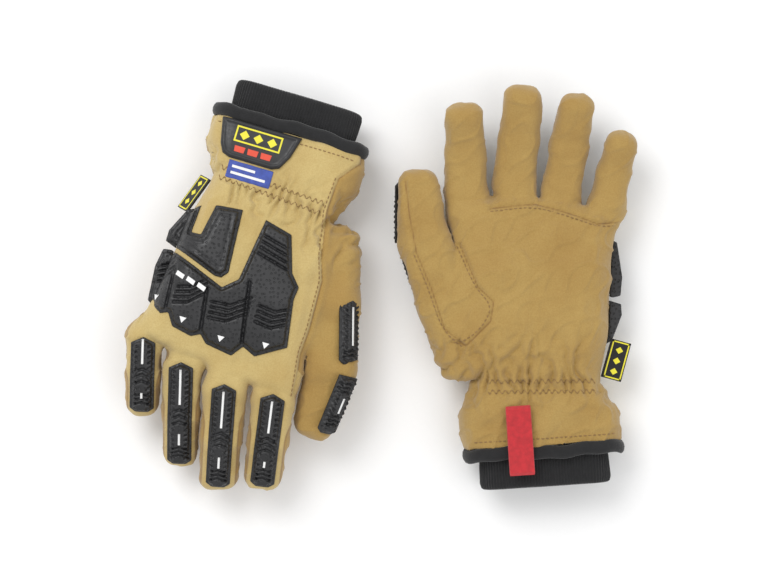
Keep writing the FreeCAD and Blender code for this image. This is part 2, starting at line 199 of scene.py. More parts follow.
def sample(function, low, high, step):
    """The function of points on a grid, with the grid's low corner."""
    axes = [np.arange(a, b + step, step) for a, b in zip(low, high)]
    grid = np.stack(np.meshgrid(*axes, indexing="ij"), axis=-1)
    shape = grid.shape[:3]
    values = function(grid.reshape(-1, 3)).reshape(shape)
    return values.astype(np.float32), np.array(low, float)


def normals(verts, quads):
    a, b, c, d = (verts[quads[:, i]] for i in range(4))
    n = np.cross(c - a, d - b)
    total = np.zeros_like(verts)
    for i in range(4):
        np.add.at(total, quads[:, i], n)
    return total / np.maximum(np.linalg.norm(total, axis=1), 1e-9)[:, None]


def relax(verts, quads, times, keep):
    """Evens a mesh out; keep is the share of its own place that a point keeps."""
    for _ in range(times):
        total = np.zeros_like(verts)
        count = np.zeros(len(verts))
        for i in range(4):
            a, b = quads[:, i], quads[:, (i + 1) % 4]
            np.add.at(total, a, verts[b])
            np.add.at(total, b, verts[a])
            np.add.at(count, a, 1)
            np.add.at(count, b, 1)
        verts = keep * verts + (1 - keep) * total / np.maximum(count, 1)[:, None]
    return verts


def to_line(points, line, closed=False):
    """Distance in the plane from points to a line of (u, v) points."""
    line = np.asarray(line, float)
    ends = np.roll(line, -1, axis=0) if closed else line[1:]
    starts = line if closed else line[:-1]
    best = np.full(points.shape[:-1], 1e9)
    for a, b in zip(starts, ends):
        d = b - a
        t = np.clip(((points - a) @ d) / (d @ d), 0, 1)
        best = np.minimum(best, np.linalg.norm(points - (a + t[..., None] * d), axis=-1))
    return best


def to_outline(points, outline):
    """Signed distance in the plane to a closed outline, negative inside."""
    outline = np.asarray(outline, float)
    inside = np.zeros(points.shape[:-1], bool)
    x, y = points[..., 0], points[..., 1]
    for (x0, y0), (x1, y1) in zip(outline, np.roll(outline, -1, axis=0)):
        if y0 != y1:
            cut = (y0 > y) != (y1 > y)
            inside ^= cut & (x < (x1 - x0) * (y - y0) / (y1 - y0) + x0)
    distance = to_line(points, outline, closed=True)
    return np.where(inside, -distance, distance)


# ---- glove space ----

def triad(points):
    """Three square axes set by three points, as columns."""
    x = unit(points[1] - points[0])
    z = unit(np.cross(x, points[2] - points[0]))
    return np.stack([x, np.cross(z, x), z], axis=1)


def axes_at(across, curl):
    """Rows: across, along and out of the back, for a digit curled towards the palm by curl radians."""
    up = np.array([0.0, 0.0, 1.0])
    along = np.cross(up, across)
    c, s = math.cos(curl), math.sin(curl)
    return np.stack([across, c * along - s * up, c * up + s * along])


class Glove:
    """One glove's space and its digits' places."""

    def __init__(self, name):
        self.name = name
        self.mirror = name == "right"
        self.joints = {
            j["name"].removeprefix(name + "_"): j for j in frame["joints"] if j["name"].startswith(name)
        }
        side = np.array([-1.0 if self.mirror else 1.0, 1.0, 1.0])
        marks = np.array(list(MARKS.values()), float) * side
        real = np.array([self.joints[n]["pos_m"] for n in MARKS]) / MM
        turn = triad(real) @ triad(marks).T
        self.matrix = turn @ np.diag(side)
        self.origin = real[0] - turn @ marks[0]
        self.digits = {n: self.digit(n) for n in FINGERS}
        self.thumb = self.bend("thumb_bend")
        self.thumb["end"] = self.reach("thumb_tip", self.thumb)

    def out(self, points):
        """From glove space to the row frame, in metres."""
        return (np.asarray(points, float) @ self.matrix.T + self.origin) * MM

    def into(self, points):
        return (np.asarray(points, float) / MM - self.origin) @ self.matrix

    def points(self, node_name):
        """The points of one of this glove's CAD nodes, in glove space."""
        return self.into([v.co for v in frame["nodes"][f"{self.name}_{node_name}"].data.vertices])

    def bend(self, joint, before=0.0):
        """A hinge's place and the axes of the digit beyond it, at rest and with the hinge straight."""
        j = self.joints[joint]
        across = np.asarray(j["axis"], float) @ self.matrix
        across *= np.sign(across[0])
        curl = -math.radians(j["range_deg"][0])
        return {
            "at": self.into(j["pos_m"]),
            "straight": axes_at(across, before),
            "rest": axes_at(across, before + curl),
            "curl": before + curl,
        }

    def reach(self, node_name, bend):
        """How far a CAD node goes along its digit, from its hinge."""
        return ((self.points(node_name) - bend["at"]) @ bend["rest"].T)[:, 1].max()

    def digit(self, name):
        knuckle = self.bend(f"{name}_knuckle")
        middle = self.bend(f"{name}_middle", knuckle["curl"])
        across = ((self.points(f"{name}_base") - knuckle["at"]) @ knuckle["rest"].T)[:, 0]
        return {
            "knuckle": knuckle,
            "middle": middle,
            "half": (across.max() - across.min()) / 2,
            "base": np.linalg.norm(middle["at"] - knuckle["at"]),
            "end": self.reach(f"{name}_tip", middle),
        }


def section(v):
    """The hand's middle, half width, half thickness and slant at v, evened out between sections."""
    at = np.arange(-30.0, 200.0, 1.0)
    kernel = np.exp(-0.5 * (np.arange(-12, 13) / 4.5) ** 2)
    kernel /= kernel.sum()
    found = []
    for k in (1, 2, 3, 4):
        line = np.interp(at, HAND_SECTIONS[:, 0], HAND_SECTIONS[:, k])
        line = np.convolve(np.pad(line, 12, mode="edge"), kernel, mode="valid")
        found.append(np.interp(v, at, line))
    u, width, thickness, slant = found
    return u, width / 2, thickness / 2, np.tan(np.radians(slant))


def hand_field(points, grow=0.0):
    u, v, w = points.T
    middle, _, _, slant = section(v)
    along = v - (u - middle) * slant
    middle, a, b, _ = section(along)
    q = np.maximum(np.abs(u - middle) - (a - b), 0)
    sides = np.hypot(q, w) - b - grow
    return sides, along


def back_height(uv):
    """Height of the hand's back over w = 0 at (u, v)."""
    u, v = uv[..., 0], uv[..., 1]
    middle, _, _, slant = section(v)
    along = v - (u - middle) * slant
    middle, a, b, _ = section(along)
    q = np.clip(np.abs(u - middle) - (a - b), 0, b - 0.01)
    return np.sqrt(b * b - q * q)


def bar_field(points, at, axes, start, end, half, depth):
    """Distance to a tapered rounded bar; half and depth are its sizes at the start and end."""
    x, y, z = ((points - at) @ axes.T).T
    t = np.clip((y - start) / (end - start), 0, 1)
    a = half[0] + (half[1] - half[0]) * t
    b = depth[0] + (depth[1] - depth[0]) * t
    r = 0.86 * np.minimum(a, b)
    qx, qz = np.abs(x) - (a - r), np.abs(z) - (b - r)
    qy = np.maximum(y - (end - r), start + r - y)
    outside = np.sqrt(np.maximum(qx, 0) ** 2 + np.maximum(qy, 0) ** 2 + np.maximum(qz, 0) ** 2)
    return outside + np.minimum(np.maximum(qx, np.maximum(qy, qz)), 0) - r, y


def bar_between(points, p, q, before, after, half, depth):
    """Distance to a bar that starts before one point and ends after another."""
    p, q = np.asarray(p, float), np.asarray(q, float)
    along = unit(q - p)
    across = unit(np.cross(along, (0, 0, 1)))
    axes = np.stack([across, along, np.cross(across, along)])
    return bar_field(points, p, axes, -before, np.linalg.norm(q - p) + after, half, depth)[0]


def finger_field(points, d):
    """Distance to a finger, and how far each point is along its straight knuckle."""
    k, m = d["knuckle"], d["middle"]
    half, depth = d["half"], FINGER_DEPTH
    mid = half * (1 - 0.13 * d["base"] / (d["base"] + d["end"]))
    y = ((points - k["at"]) @ k["straight"].T)[:, 1]
    root_at = (0.6 * k["at"][0], ROOT_V, 0.3 * k["at"][2])
    root = bar_between(points, root_at, k["at"], 0, 8, (half * 1.1, half), (depth * 1.1, depth))
    base, _ = bar_field(points, k["at"], k["rest"], -9, d["base"] + 8, (half, mid), (depth, depth))
    tip, _ = bar_field(points, m["at"], m["rest"], -9, d["end"], (mid, half * 0.87), (depth, depth * 0.9))
    return soft_min(soft_min(root, base, 4), tip, 4), y


def thumb_root_field(points):
    """Distance to the ball of the thumb, from the wrist to the thumb's hinge."""
    best = None
    for (p, a0, b0), (q, a1, b1) in zip(THUMB_ROOT, THUMB_ROOT[1:]):
        bar = bar_between(points, p, q, 12, 11, (a0, a1), (b0, b1))
        best = bar if best is None else soft_min(best, bar, 6)
    return best


def part_from(own, other, gap):
    """Own distance, cut back so that it stays a gap away from the other's."""
    return np.maximum(own, (own - other + gap) / 2)


def glove_field(points, glove):
    """Distance to the whole sewn shell, with the field of each digit and its measure along it."""
    sides, along = hand_field(points)
    hand = -soft_min(-sides, HAND_END - along, 7)
    digits, fields = {}, []
    for name, d in glove.digits.items():
        f, along_digit = finger_field(points, d)
        fields.append(f)
        digits[name] = [f, along_digit]
    for i, name in enumerate(digits):
        for j in (i - 1, i + 1):
            if 0 <= j < len(fields):
                digits[name][0] = part_from(digits[name][0], fields[j], 1.4)
    body = hand
    for f, along_digit in digits.values():
        blend = 1.0 + 5.0 * (1 - smooth((along_digit + 14) / 10))
        body = soft_min(body, f, blend)
    bend = glove.thumb
    tip, y = bar_field(points, bend["at"], bend["rest"], -10, bend["end"],
                       (THUMB_HALF, THUMB_HALF * 0.76), (THUMB_DEPTH, THUMB_DEPTH * 0.88))
    thumb = soft_min(thumb_root_field(points), tip, 6)
    free = smooth((y + 14) / 12)
    gap = 1.6 * free - 8 * (1 - free)
    thumb, body = part_from(thumb, body, gap), part_from(body, thumb, gap)
    body = soft_min(body, thumb, 0.5 + 8.5 * (1 - free))
    pocket = np.maximum(sides + HAND_SHELL, along - POCKET)
    body = np.maximum(body, -pocket)
    body = np.maximum(body, -along)
    return body, digits, (tip, y), along


# ---- folds, seams and colours of the leather ----

def on_digits(points, glove):
    """For each digit, each point's place across it, along it from the knuckle, and above its middle."""
    places = {}
    for name, d in glove.digits.items():
        k, m = d["knuckle"], d["middle"]
        low = (points - k["at"]) @ k["rest"].T
        high = (points - m["at"]) @ m["rest"].T
        beyond = high[:, 1] > 0
        x, z = (np.where(beyond, high[:, i], low[:, i]) for i in (0, 2))
        places[name] = x, low[:, 1], z
    return places


def folds(points, along, owner):
    """How far the leather stands out at each point: gathers at the wrist, soft waves, and seams."""
    u, v, w = points.T
    uv = points[:, :2]
    hand = owner == 0
    round_hand = u + np.sign(u) * np.abs(w) * 0.5
    drift = 3.0 * waves(np.stack([u, v * 0.6], 1), 26, 3) + 1.0 * waves(points, 9, 5)
    ridge = np.abs(np.sin(math.pi * (round_hand + drift) / 7.4))
    broad = np.abs(np.sin(math.pi * (round_hand + 1.7 * drift) / 13.0))
    near = np.exp(-(((along - 44) / 9.0) ** 2))
    far = np.exp(-(((along - 60) / 15.0) ** 2)) + 0.6 * np.exp(-(((along - 30) / 7.0) ** 2))
    covered = np.min([to_outline(uv, shape) for shape in (LABEL, BADGE, HAND_GUARD, KNUCKLE_GUARD)], axis=0)
    calm = np.where(w > 0, 0.12 + 0.88 * smooth(covered / 5.0), 1.0) * np.where(hand, 1.0, 0.6)
    calm *= 0.2 + 0.8 * smooth((to_line(uv, TAG_SEAM) - 2.0) / 12.0)
    gather = near * (5.0 * ridge - 3.1) + far * (3.6 * broad - 2.1)
    h = hand * calm * gather * smooth((along - 10) / 14)
    h += calm * (1.0 * waves(points, 38, 11) + 0.45 * waves(points, 15, 12))
    crumple = np.abs(waves(points, 21, 21))
    h += calm * 1.1 * (0.4 - np.minimum(crumple, 0.4)) / 0.4 * (w < 4)
    for line in (THUMB_SEAM, PATCH_SEAM, FINGER_SEAM):
        d = to_line(uv, line)
        pucker = 0.3 * np.sin(2 * math.pi * (u + v) / 4.6) * np.exp(-(((d - 2.5) / 2.0) ** 2))
        h += (w < 0) * (0.6 * np.exp(-(((d - 3.0) / 2.4) ** 2)) - 1.0 * np.exp(-((d / 1.0) ** 2)) + pucker)
    d = to_line(uv, BACK_EDGE[:, ::-1])
    h += (w > 0) * hand * (0.6 * np.exp(-(((d - 2.5) / 2.0) ** 2)) - 0.9 * np.exp(-((d / 0.9) ** 2)))
    return h


def backness(points, glove, owner):
    """Millimetres inside the paler leather of the back: negative on the palm, forks and thumb."""
    u, v, w = points.T
    side = np.interp(v, BACK_EDGE[:, 0], BACK_EDGE[:, 1]) - u
    rise = 3.0 * smooth((v - 150) / 20)
    back = np.minimum(w - 0.5 - rise, side + 30 * smooth((v - 150) / 14))
    places = on_digits(points, glove)
    for i, name in enumerate(FINGERS):
        x, y, z = places[name]
        taper = FORK_TAPER * (1 - smooth((y - BEND_FROM[name]) / (2 * BEND)))
        strip = glove.digits[name]["half"] * STRIP_SHARE + taper - np.abs(x)
        back = np.where(owner == i + 1, np.minimum(z - 3.5, strip), back)
    return np.where(owner == 5, -9.0, back)


def crease(points, back):
    """Millimetres to the nearest seam."""
    uv, w = points[:, :2], points[:, 2]
    d = np.abs(back)
    for line in (THUMB_SEAM, PATCH_SEAM, FINGER_SEAM):
        d = np.minimum(d, np.where(w < 0, to_line(uv, line), 9.0))
    return np.minimum(d, 9.0)


# ---- objects ----

def add_object(name, verts, faces, material, glove):
    """A mesh object from points in glove space and lists of corners."""
    if glove.mirror:
        faces = [face[::-1] for face in faces]
    mesh = bpy.data.meshes.new(name)
    mesh.from_pydata(glove.out(verts).tolist(), [], faces)
    mesh.materials.append(material)
    obj = bpy.data.objects.new(name, mesh)
    bpy.context.scene.collection.objects.link(obj)
    return obj


def add_mesh(name, verts, faces, material, glove):
    """A smooth mesh object from points in glove space and quads."""
    obj = add_object(name, verts, np.asarray(faces).tolist(), material, glove)
    obj.data.polygons.foreach_set("use_smooth", np.ones(len(faces), bool))
    obj.data.update()
    return obj


def declare(obj, glove, nodes, body=None):
    """Hides the frame's nodes that a piece stands for, and puts the piece on its body when one is given."""
    if nodes:
        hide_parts(*[f"{glove.name}_{node_name}" for node_name in nodes])
    if body is not None:
        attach(obj, f"{glove.name}_{body}")


def attribute(obj, name, values):
    made = obj.data.attributes.new(name, "FLOAT", "POINT")
    made.data.foreach_set("value", np.asarray(values, np.float32))


def subset(verts, quads, chosen, *values):
    """The chosen faces with their own points and values."""
    used, faces = np.unique(quads[chosen], return_inverse=True)
    return verts[used], faces.reshape(-1, 4), *[v[used] for v in values]


def moulding(xs, ys, distance, top, bottom, step, edge=0.9):
    """A plate over a plane grid: its outline by signed distance, between two heights."""
    zs = np.arange(bottom.min() - 2 * step, top.max() + 2 * step, step)
    z = zs[None, None, :]
    q1 = distance[:, :, None] + edge
    q2 = z - top[:, :, None] + edge
    lid = np.hypot(np.maximum(q1, 0), np.maximum(q2, 0)) + np.minimum(np.maximum(q1, q2), 0) - edge
    field = np.maximum(lid, bottom[:, :, None] - z).astype(np.float32)
    verts, quads = surface(field, np.array([xs[0], ys[0], zs[0]]), step)
    return relax(verts, quads, 1, 0.6), quads


def grid_over(outline, step):
    outline = np.asarray(outline, float)
    low, high = outline.min(0) - 3 * step, outline.max(0) + 3 * step
    xs, ys = np.arange(low[0], high[0], step), np.arange(low[1], high[1], step)
    return xs, ys, np.stack(np.meshgrid(xs, ys, indexing="ij"), axis=-1)


def add_prism(name, outline, low, high, material, glove, at=None, axes=None):
    """A flat piece: an outline raised from low to high, which may be functions of (u, v)."""
    outline = np.asarray(outline, float)
    n = len(outline)
    heights = [level(outline) if callable(level) else np.full(n, level) for level in (low, high)]
    verts = np.vstack([np.column_stack([outline, z]) for z in heights])
    if axes is not None:
        verts = verts @ axes + at
    faces = [list(range(n, 2 * n)), list(range(n - 1, -1, -1))]
    faces += [[i, (i + 1) % n, n + (i + 1) % n, n + i] for i in range(n)]
    return add_object(name, verts, faces, material, glove)


def rectangle(a, b, c, d):
    """A rectangle from a to b across and c to d along."""
    return [(a, c), (b, c), (b, d), (a, d)]


def diamond(u, v, half_u, half_v):
    return [(u - half_u, v), (u, v - half_v), (u + half_u, v), (u, v + half_v)]


def border(a, b, c, d, line):
    """Four lines just inside a rectangle."""
    return [rectangle(a, b, c, c + line), rectangle(a, b, d - line, d),
            rectangle(a, a + line, c, d), rectangle(b - line, b, c, d)]


def sweep(path, out, half_u, half_w, corners=12):
    """A closed tube along closed points; out gives each point's outward direction in the plane."""
    angles = np.linspace(0, 2 * math.pi, corners, endpoint=False)
    rings = [
        path + out * (half_u * math.cos(a)) + np.array([0, 1, 0]) * (half_w * math.sin(a)) for a in angles
    ]
    verts = np.stack(rings, axis=1).reshape(-1, 3)
    return verts, wrap(len(path), corners)


def wrap(n, m, closed=True):
    """Quads of an n by m grid of points that wraps round in m, and in n when closed."""
    i = np.arange(n if closed else n - 1)[:, None]
    j = np.arange(m)[None, :]
    a = i * m + j
    b = (i + 1) % n * m + j
    c = (i + 1) % n * m + (j + 1) % m
    d = i * m + (j + 1) % m
    return np.stack([a, b, c, d], axis=-1).reshape(-1, 4)


def oval(width, thickness, count):
    """Evenly spaced points round a stadium, their outward directions and their distance round it."""
    r = thickness / 2
    flat = width - thickness
    half_way = flat + math.pi * r
    s = np.arange(count) * 2 * half_way / count
    second = s >= half_way
    t = s - second * half_way
    turn = np.maximum(t - flat, 0) / r
    outward = np.column_stack([np.sin(turn), np.cos(turn)])
    points = np.column_stack([np.minimum(t, flat) - flat / 2, np.zeros(count)]) + r * outward
    sign = np.where(second, -1.0, 1.0)[:, None]
    return points * sign, outward * sign, s


# ---- materials ----

def new_material(name, color, roughness, sheen=0.0):
    material = bpy.data.materials.new(name)
    material.use_nodes = True
    tree = material.node_tree
    shader = tree.nodes["Principled BSDF"]
    shader.inputs["Base Color"].default_value = (*color, 1)
    shader.inputs["Roughness"].default_value = roughness
    shader.inputs["Sheen Weight"].default_value = sheen
    return material, tree, shader


def node(tree, kind, **inputs):
    made = tree.nodes.new(kind)
    for key, value in inputs.items():
        made.inputs[key.replace("_", " ")].default_value = value
    return made


def placed(tree, made):
    """A texture node, laid out in the object's own space."""
    coords = tree.nodes.new("ShaderNodeTexCoord")
    tree.links.new(coords.outputs["Object"], made.inputs["Vector"])
    return made


def noise(tree, scale, detail=3.0, rough=0.55):
    made = node(tree, "ShaderNodeTexNoise", Scale=scale, Detail=detail, Roughness=rough)
    return placed(tree, made).outputs["Fac"]


def bump(tree, shader, height, distance, strength=1.0, under=None):
    made = node(tree, "ShaderNodeBump", Distance=distance, Strength=strength)
    tree.links.new(height, made.inputs["Height"])
    if under is not None:
        tree.links.new(under, made.inputs["Normal"])
    tree.links.new(made.outputs["Normal"], shader.inputs["Normal"])
    return made.outputs["Normal"]


def remap(tree, value, a, b, c, d):
    made = tree.nodes.new("ShaderNodeMapRange")
    for key, x in zip(("From Min", "From Max", "To Min", "To Max"), (a, b, c, d)):
        made.inputs[key].default_value = x
    tree.links.new(value, made.inputs["Value"])
    return made.outputs["Result"]


def mix(tree, factor, a, b, kind="MIX"):
    made = tree.nodes.new("ShaderNodeMix")
    made.data_type = "RGBA"
    made.blend_type = kind
    for key, x in ((0, factor), (6, a), (7, b)):
        if isinstance(x, (tuple, float)):
            made.inputs[key].default_value = (*x, 1) if isinstance(x, tuple) else x
        else:
            tree.links.new(x, made.inputs[key])
    return made.outputs[2]


def attribute_value(tree, name):
    made = tree.nodes.new("ShaderNodeAttribute")
    made.attribute_name = name
    return made.outputs["Fac"]


def leather():
    material, tree, shader = new_material("leather", (0.6, 0.4, 0.17), 0.78, 0.25)
    shader.inputs["Sheen Roughness"].default_value = 0.6
    shader.inputs["Specular IOR Level"].default_value = 0.3
    back = remap(tree, attribute_value(tree, "back"), -0.15, 0.15, 0.0, 1.0)
    color = mix(tree, back, PALM_COLOR, BACK_COLOR)
    blotch = remap(tree, noise(tree, 28.0, 4.0), 0.3, 0.7, 0.0, 1.0)
    color = mix(tree, blotch, color, mix(tree, 1.0, color, (0.86, 0.80, 0.70), "MULTIPLY"))
    speck = remap(tree, noise(tree, 1100.0, 2.0), 0.35, 0.7, 0.0, 0.55)
    color = mix(tree, speck, color, mix(tree, 1.0, color, (0.80, 0.72, 0.58), "MULTIPLY"))
    seam = remap(tree, attribute_value(tree, "seam"), 0.25, 0.75, 0.62, 0.0)
    color = mix(tree, seam, color, (0.20, 0.10, 0.03))
    tree.links.new(color, shader.inputs["Base Color"])
    under = bump(tree, shader, noise(tree, 260.0, 4.0), 0.0009, 0.5)
    bump(tree, shader, noise(tree, 1700.0, 3.0), 0.0003, 0.6, under)
    return material


def mottle(tree, shader, color, times, scale, detail=3.0, spread=(0.3, 0.7)):
    """Lets the base colour drift between the given one and another that is times as bright."""
    patch = remap(tree, noise(tree, scale, detail), *spread, 0.0, 1.0)
    other = tuple(times * c for c in color)
    tree.links.new(mix(tree, patch, color, other), shader.inputs["Base Color"])


def rubber(name, color, pits):
    """Moulded rubber, a little worn to grey in places; pits gives it scattered round dents."""
    material, tree, shader = new_material(name, color, 0.4)
    mottle(tree, shader, color, 1.9, 60.0, 4.0, (0.35, 0.75))
    tree.links.new(remap(tree, noise(tree, 400.0, 3.0), 0.3, 0.7, 0.34, 0.55), shader.inputs["Roughness"])
    fine = bump(tree, shader, noise(tree, 2200.0, 2.0), 0.00008, 0.5)
    if pits:
        cells = placed(tree, tree.nodes.new("ShaderNodeTexVoronoi"))
        cells.voronoi_dimensions = "2D"
        cells.inputs["Scale"].default_value = 330.0
        cells.inputs["Randomness"].default_value = 0.7
        dent = remap(tree, cells.outputs["Distance"], 0.12, 0.26, 0.0, 1.0)
        bump(tree, shader, dent, 0.0006, 0.8, fine)
    return material


def cloth(name, color, scale, distance, rough=0.95, streak=0.35):
    """Yarn or print: uneven in colour by streak, with a fine raised grain."""
    material, tree, shader = new_material(name, color, rough, 0.15)
    mottle(tree, shader, color, 1 - streak, scale / 6)
    bump(tree, shader, noise(tree, scale, 3.0), distance, 0.8)
    return material


def webbing(name, color, pitch):
    """Woven tape: fine ridges across each other."""
    material, tree, shader = new_material(name, color, 0.7, 0.2)
    mottle(tree, shader, color, 0.75, 300.0)
    both = tree.nodes.new("ShaderNodeMath")
    both.operation = "MULTIPLY"
    for i, direction in enumerate(("X", "Y")):
        ridge = placed(tree, tree.nodes.new("ShaderNodeTexWave"))
        ridge.bands_direction = direction
        ridge.inputs["Scale"].default_value = pitch
        ridge.inputs["Distortion"].default_value = 0.4
        tree.links.new(ridge.outputs["Fac"], both.inputs[i])
    bump(tree, shader, both.outputs[0], 0.0004, 0.8)
    return material


PALM_COLOR = (0.41, 0.27, 0.078)
BACK_COLOR = (0.56, 0.435, 0.18)
LEATHER = leather()
RUBBER = rubber("guard_rubber", (0.011, 0.011, 0.012), True)
SMOOTH_RUBBER = rubber("badge_rubber", (0.010, 0.010, 0.011), False)
FLEECE = cloth("fleece", (0.02, 0.02, 0.021), 900.0, 0.0009)
KNIT = cloth("knit", (0.013, 0.013, 0.014), 1400.0, 0.0005)
BINDING = cloth("binding", (0.014, 0.014, 0.015), 1200.0, 0.0004)
THREAD = cloth("thread", (0.30, 0.17, 0.06), 3000.0, 0.0001, 0.8)
WEBBING = webbing("red_webbing", (0.62, 0.02, 0.03), 420.0)
WHITE = cloth("white_inlay", (0.85, 0.85, 0.84), 900.0, 0.00005, 0.45, 0.1)
YELLOW = cloth("yellow_print", (0.80, 0.72, 0.03), 900.0, 0.00005, 0.5, 0.12)
RED = cloth("red_print", (0.72, 0.07, 0.03), 900.0, 0.00005, 0.5, 0.15)
BLUE = cloth("blue_label", (0.06, 0.10, 0.42), 1500.0, 0.0002, 0.7)
TAG = cloth("tag_weave", (0.012, 0.012, 0.013), 1500.0, 0.0002, 0.8)


# ---- pieces of a glove ----

def owners(fields, beyond):
    """The digit that each place belongs to, counted from 1, or 0 for the hand."""
    nearest = fields.argmin(0)
    return np.where(np.take_along_axis(beyond, nearest[None], 0)[0] > 0, nearest + 1, 0)


def shell(glove):
    """The leather: one surface, cut into pieces for the hand and for each digit. Returns it for projection.
    """
    ends = [d["middle"]["at"] + d["middle"]["rest"][1] * d["end"] for d in glove.digits.values()]
    high = np.array([102, max(e[1] for e in ends) + 8, 32])
    low = np.array([-80, -3, min(e[2] for e in ends) - 16])
    low[2] = min(low[2], -27)
    field, corner = sample(lambda p: glove_field(p, glove)[0], low, high, CELL)
    verts, quads = surface(field, corner, CELL)
    verts = relax(verts, quads, 3, 0.5)
    _, digits, (tip, y_thumb), along = glove_field(verts, glove)
    names = list(digits)
    fields = np.stack([digits[n][0] for n in names] + [tip])
    y = np.stack([digits[n][1] for n in names] + [y_thumb])
    start = np.array([BEND_FROM[n] for n in names] + [-1.0])[:, None]
    owner = owners(fields, y - start)
    n = normals(verts, quads)
    inner = (hand_field(verts)[0] < -HAND_SHELL / 2) & (along < POCKET + 3) & (owner == 0)
    lift = np.where(inner, 0.0, folds(verts, along, owner))
    verts = verts + n * lift[:, None]
    back = backness(verts, glove, owner)
    seam = np.where(inner, 9.0, crease(verts, back))

    yc = np.stack([own[quads].mean(1) for own in y])
    face_owner = owners(np.stack([own[quads].mean(1) for own in fields]), yc - start)
    face_back = back[quads].mean(1) > 0

    def piece(name, chosen, slot, *nodes):
        v, q, b, s = subset(verts, quads, chosen, back, seam)
        obj = add_mesh(f"{glove.name}_{name}", v, q, LEATHER, glove)
        attribute(obj, "back", b)
        attribute(obj, "seam", s)
        declare(obj, glove, nodes)
        return obj

    hand = face_owner == 0
    for name, chosen, slot, nodes in (
        ("hand_back", hand & face_back, "back_leather", ["back_panel"]),
        ("hand_palm", hand & ~face_back, "palm_leather", ["palm_panel", "thumb_base"]),
    ):
        obj = piece(name, chosen, slot, *nodes)
        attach(obj, f"{glove.name}_hand")
    for i, name in enumerate(names):
        d = glove.digits[name]
        k, m = d["knuckle"], d["middle"]
        cut = BEND_FROM[name] + BEND
        mine = face_owner == i + 1
        low_piece = piece(f"{name}_lower", mine & (yc[i] <= cut), "palm_leather", f"{name}_base")
        line = [k["at"] + k["straight"][1] * x for x in (BEND_FROM[name], cut)]
        bend_piece(low_piece, glove, line)
        high_piece = piece(f"{name}_upper", mine & (yc[i] > cut), "palm_leather", f"{name}_tip")
        line = [m["at"] + k["rest"][1] * x for x in (-BEND / 2, BEND / 2)]
        bend_piece(high_piece, glove, line)
    t = glove.thumb
    obj = piece("thumb_end", face_owner == 5, "palm_leather", "thumb_tip")
    bend_piece(obj, glove, [t["at"] + t["straight"][1] * x for x in (-1.0, BEND)])
    return verts, quads


def bend_piece(obj, glove, line):
    start, end = glove.out(line)
    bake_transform(obj)


def raised(distance, height, flange=1.5, rim=2.0):
    """Height of a moulding with a thin flange round a raised middle."""
    return flange + (height - flange) * smooth((-distance - rim) / 1.3)


def hand_plate(glove, name, outline, height, carve):
    """A rubber plate that follows the back of the hand, with a flat top where it meets the floor."""
    step = 0.7
    xs, ys, uv = grid_over(outline, step)
    distance = to_outline(uv, outline) + 0.4
    base = back_height(uv)
    top = base + np.maximum(raised(distance, height) - carve(uv, distance), 0.8)
    top = np.minimum(top, REST_FACE + 0.2)
    verts, quads = moulding(xs, ys, distance, top, base - 0.6, step)
    obj = add_mesh(f"{glove.name}_{name}_moulding", verts, quads, RUBBER, glove)
    declare(obj, glove, [name], "hand")


def groove(x, width):
    return np.exp(-((x / width) ** 2))


def knuckle_carving(uv, distance):
    """Ribs across each lobe, and grooves between the lobes."""
    cut = np.zeros(uv.shape[:-1])
    for u, v, half, lean in LOBES:
        x = uv[..., 0] - u
        y = uv[..., 1] - v + 0.1 * lean * x + 0.32 * np.abs(x)
        inside = smooth((half - np.abs(x)) / 2.0)
        for k in range(4):
            cut += 2.5 * inside * groove(y + 9.5 + 3.6 * k, 0.95)
    x, y = uv[..., 0] - 15, uv[..., 1]
    arm = smooth((13 - np.abs(x)) / 2.0)
    for k in range(4):
        cut += 2.4 * arm * groove(y - 74 - 4.2 * k - 0.25 * x, 0.95)
    for line in LOBE_GAPS:
        cut += 3.0 * groove(to_line(uv, line), 1.1)
    return cut * smooth((-distance - 1.5) / 2.0)


def hand_carving(_, distance):
    """One groove that follows the plate's edge."""
    return 0.7 * groove(distance + 6.0, 0.8) * smooth((-distance - 1.5) / 2.0)


def rib_cuts(x, y, firsts, count=3):
    """Depth of groups of chevron grooves, each group starting at one of the given places along y."""
    lines = [first + 3.0 * k for first in firsts for k in range(count)]
    return sum(1.9 * groove(y - line - 0.35 * np.abs(x), 0.75) for line in lines)


def guard_bar(start, end, ribs, point, step=0.55):
    """A ribbed rubber bar in its own space, pointed at its start: x across, y along, z up."""
    half = GUARD_HALF
    outline = [(-half, start + point), (0, start), (half, start + point), (half, end - 3), (half - 4, end),
               (4 - half, end), (-half, end - 3)]
    xs, ys, xy = grid_over(outline, step)
    distance = to_outline(xy, outline) + 0.3
    x, y = xy[..., 0], xy[..., 1]
    dome = 0.9 * (x / half) ** 2
    side_ribs = 1.7 * np.abs(np.sin(math.pi * (y + 0.5 * np.abs(x)) / RIB_PITCH)) ** 4
    cut = rib_cuts(x, y, ribs) + side_ribs * smooth((np.abs(x) - SPINE_HALF) / 0.8)
    cut = cut * smooth((-distance - 1.5) / 0.8)
    top = np.maximum(raised(distance, GUARD_RISE, 1.2, 1.4) - dome - cut, 0.9)
    return moulding(xs, ys, distance, top, np.full(top.shape, -0.8), step, 0.7)


def inlay_box(a, b, half=0.75, rows=8):
    """A thin raised strip from a to b along y, as points and faces in a bar's own space."""
    ys = np.linspace(a, b, rows)
    low, high = GUARD_RISE - 1.2, GUARD_RISE + 0.12
    ring = [(-half, low), (half, low), (half, high), (-half, high)]
    verts = np.array([(x, y, z) for y in ys for x, z in ring])
    faces = wrap(rows, 4, closed=False).tolist() + [[3, 2, 1, 0], [4 * rows - 4 + i for i in range(4)]]
    return verts, faces


